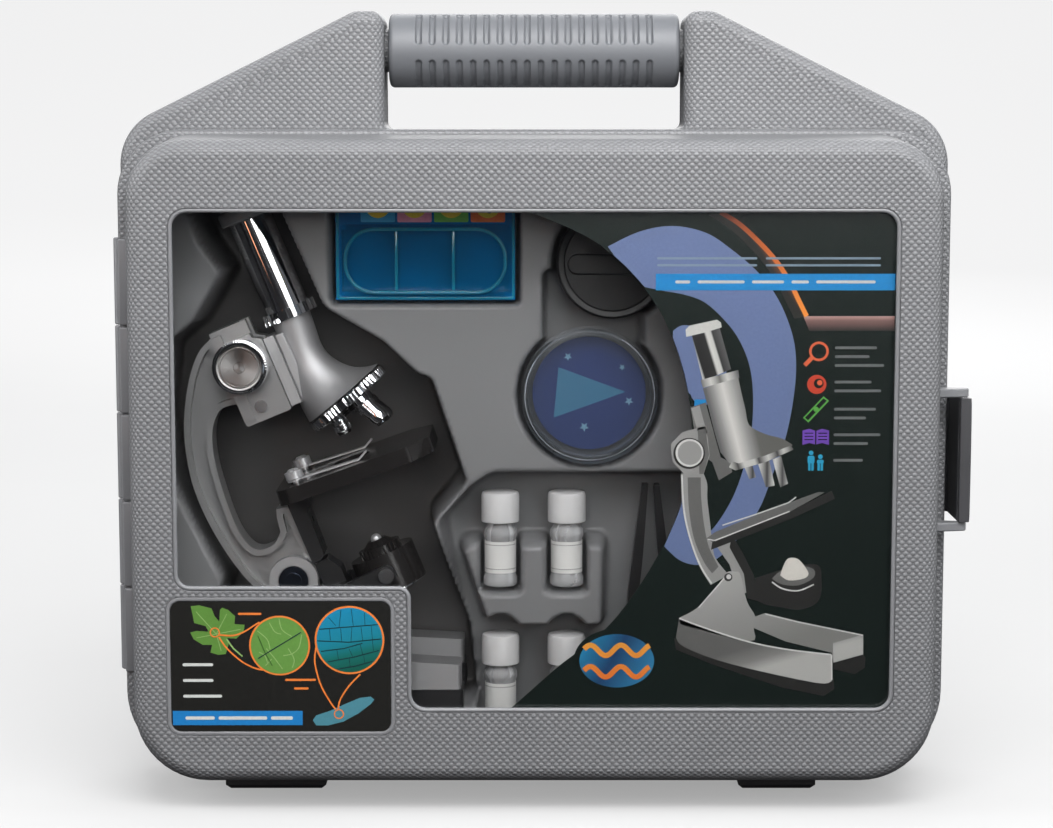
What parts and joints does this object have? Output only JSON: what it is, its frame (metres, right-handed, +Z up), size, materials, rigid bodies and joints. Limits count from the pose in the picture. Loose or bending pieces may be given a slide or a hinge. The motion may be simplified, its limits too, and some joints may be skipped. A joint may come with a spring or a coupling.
{
  "type": "microscope kit",
  "caption": "Children's tilting microscope packed with its dish, vials and hatchery in a windowed carrying case with a handle, hinged lid and latch",
  "frame": {"origin": "centre of the case's width and depth, at the underside of its feet", "axes": "+X is the viewer's right when facing the window, across the case's width; +Y is from the window to the back of the case; +Z is up, from the feet to the handle"},
  "size_m": [0.3592, 0.09, 0.33],
  "materials": {
    "case_grey": "moulded, dimpled grain",
    "tray_grey": "smooth vacuum-formed sheet",
    "grip_grey": "smooth moulded",
    "black_plastic": "satin",
    "foot_rubber": "matte",
    "pin_steel": "polished pin",
    "clear_sheet": "clear plastic sheet",
    "card": "printed, gloss",
    "label_card": "printed, gloss",
    "blue_clear": "tinted clear plastic",
    "sticker": "printed stickers",
    "dish_clear": "clear polystyrene",
    "dish_blue": "printed disc",
    "vial_clear": "hazy clear plastic",
    "cap_white": "translucent white",
    "vial_paper": "printed wrap",
    "satin_silver": "satin silver die casting",
    "chrome": "plated",
    "brass": "plain",
    "battery": "printed jacket",
    "blued_steel": "blued",
    "lens_glass": "polished",
    "bulb_glass": "frosted",
    "mirror": "silvered",
    "smoke_plastic": "dark moulded"
  },
  "bodies": {
    "case": {"rear_shell": "case_grey", "tray": "tray_grey", "handle_bar": "case_grey", "handle_grip": "grip_grey", "hinge_pin": "pin_steel", "foot_left": "foot_rubber", "foot_right": "foot_rubber", "vials": "vial_clear", "vial_caps": "cap_white", "vial_labels": "vial_paper", "base_casting": "satin_silver", "base_foot": "black_plastic", "battery_cover": "black_plastic", "batteries": "battery", "inclination_screw": "blued_steel", "inclination_nut": "pin_steel"},
    "lid": {"lid_shell": "case_grey", "window_pane": "clear_sheet", "printed_card": "card", "picture_label": "label_card", "latch_pin": "pin_steel"},
    "latch": {"latch": "black_plastic"},
    "hatchery": {"hatchery_box": "blue_clear", "specimen_stickers": "sticker"},
    "hatchery_cover": {"hatchery_cover": "blue_clear"},
    "dish": {"petri_dish": "dish_clear", "petri_label": "dish_blue"},
    "dish_lid": {"petri_lid": "dish_clear"},
    "cup": {"sample_cup": "black_plastic"},
    "tweezers": {"tweezers": "black_plastic"},
    "arm": {"arm": "satin_silver", "focus_housing": "satin_silver", "housing_screws": "pin_steel", "stage": "black_plastic", "stage_bracket": "black_plastic", "clip_posts": "chrome", "lamp_fork": "black_plastic"},
    "clip_near": {"stage_clip_near": "chrome"},
    "clip_far": {"stage_clip_far": "chrome"},
    "lamp": {"lamp_cup": "black_plastic", "lamp_ring": "black_plastic", "bulb_socket": "brass", "bulb": "bulb_glass", "mirror": "mirror", "lamp_screws": "pin_steel"},
    "head": {"head": "satin_silver", "rack_slide": "satin_silver", "tube_collar": "chrome", "body_tube": "chrome", "turret_screw": "pin_steel"},
    "eyepiece": {"eyepiece": "smoke_plastic", "eye_lens": "lens_glass"},
    "turret": {"turret": "chrome", "objective_short": "chrome", "objective_medium": "chrome", "objective_long": "chrome", "objective_lenses": "lens_glass"},
    "focus_drive": {"pinion_shaft": "pin_steel", "focus_knob_near": "chrome", "focus_knob_far": "chrome"}
  },
  "joints": [
    {"name": "lid_hinge", "type": "hinge", "parent": "case", "child": "lid", "pos_m": [-0.17725, 0, 0.1435], "axis": [0, 0, -1], "range_deg": [0, 170]},
    {"name": "latch_pivot", "type": "hinge", "parent": "lid", "child": "latch", "pos_m": [0.17575, -0.017, 0.144], "axis": [0, 0, -1], "range_deg": [0, 70]},
    {"name": "hatchery_lift", "type": "slide", "parent": "case", "child": "hatchery", "axis": [0, -1, 0], "range_m": [0, 0.02]},
    {"name": "hatchery_cover_lift", "type": "slide", "parent": "hatchery", "child": "hatchery_cover", "axis": [0, -1, 0], "range_m": [0, 0.008]},
    {"name": "dish_lift", "type": "slide", "parent": "case", "child": "dish", "axis": [0, -1, 0], "range_m": [0, 0.016]},
    {"name": "dish_lid_lift", "type": "slide", "parent": "dish", "child": "dish_lid", "axis": [0, -1, 0], "range_m": [0, 0.012]},
    {"name": "cup_lift", "type": "slide", "parent": "case", "child": "cup", "axis": [0, -1, 0], "range_m": [0, 0.025]},
    {"name": "tweezers_lift", "type": "slide", "parent": "case", "child": "tweezers", "axis": [0, -1, 0], "range_m": [0, 0.025]},
    {"name": "arm_tilt", "type": "hinge", "parent": "case", "child": "arm", "pos_m": [-0.10485, 0.004, 0.0906], "axis": [0, -1, 0], "range_deg": [0, 1.5]},
    {"name": "clip_near_swing", "type": "hinge", "parent": "arm", "child": "clip_near", "pos_m": [-0.10291, -0.015, 0.13581], "axis": [-0.3338, 0, 0.9426], "range_deg": [-20, 14]},
    {"name": "clip_far_swing", "type": "hinge", "parent": "arm", "child": "clip_far", "pos_m": [-0.10291, 0.023, 0.13581], "axis": [-0.3338, 0, 0.9426], "range_deg": [-14, 20]},
    {"name": "lamp_flip", "type": "hinge", "parent": "arm", "child": "lamp", "pos_m": [-0.06515, 0.004, 0.09405], "axis": [0, 1, 0], "range_deg": [0, 180]},
    {"name": "focus_slide", "type": "slide", "parent": "arm", "child": "head", "axis": [-0.3827, 0, 0.9239], "range_m": [-0.0015, 0.009]},
    {"name": "eyepiece_lift", "type": "slide", "parent": "head", "child": "eyepiece", "axis": [-0.3827, 0, 0.9239], "range_m": [0, 0.005]},
    {"name": "turret_spin", "type": "hinge", "parent": "head", "child": "turret", "pos_m": [-0.08373, 0.004, 0.16949], "axis": [-0.6494, 0, 0.7604], "continuous": true},
    {"name": "focus_knobs", "type": "hinge", "parent": "arm", "child": "focus_drive", "pos_m": [-0.1252, 0.004, 0.18283], "axis": [0, 1, 0], "range_deg": [-110, 25]}
  ],
  "couplings": [
    {"joint": "focus_knobs", "follows": "focus_slide", "rad_per_m": -200}
  ]
}
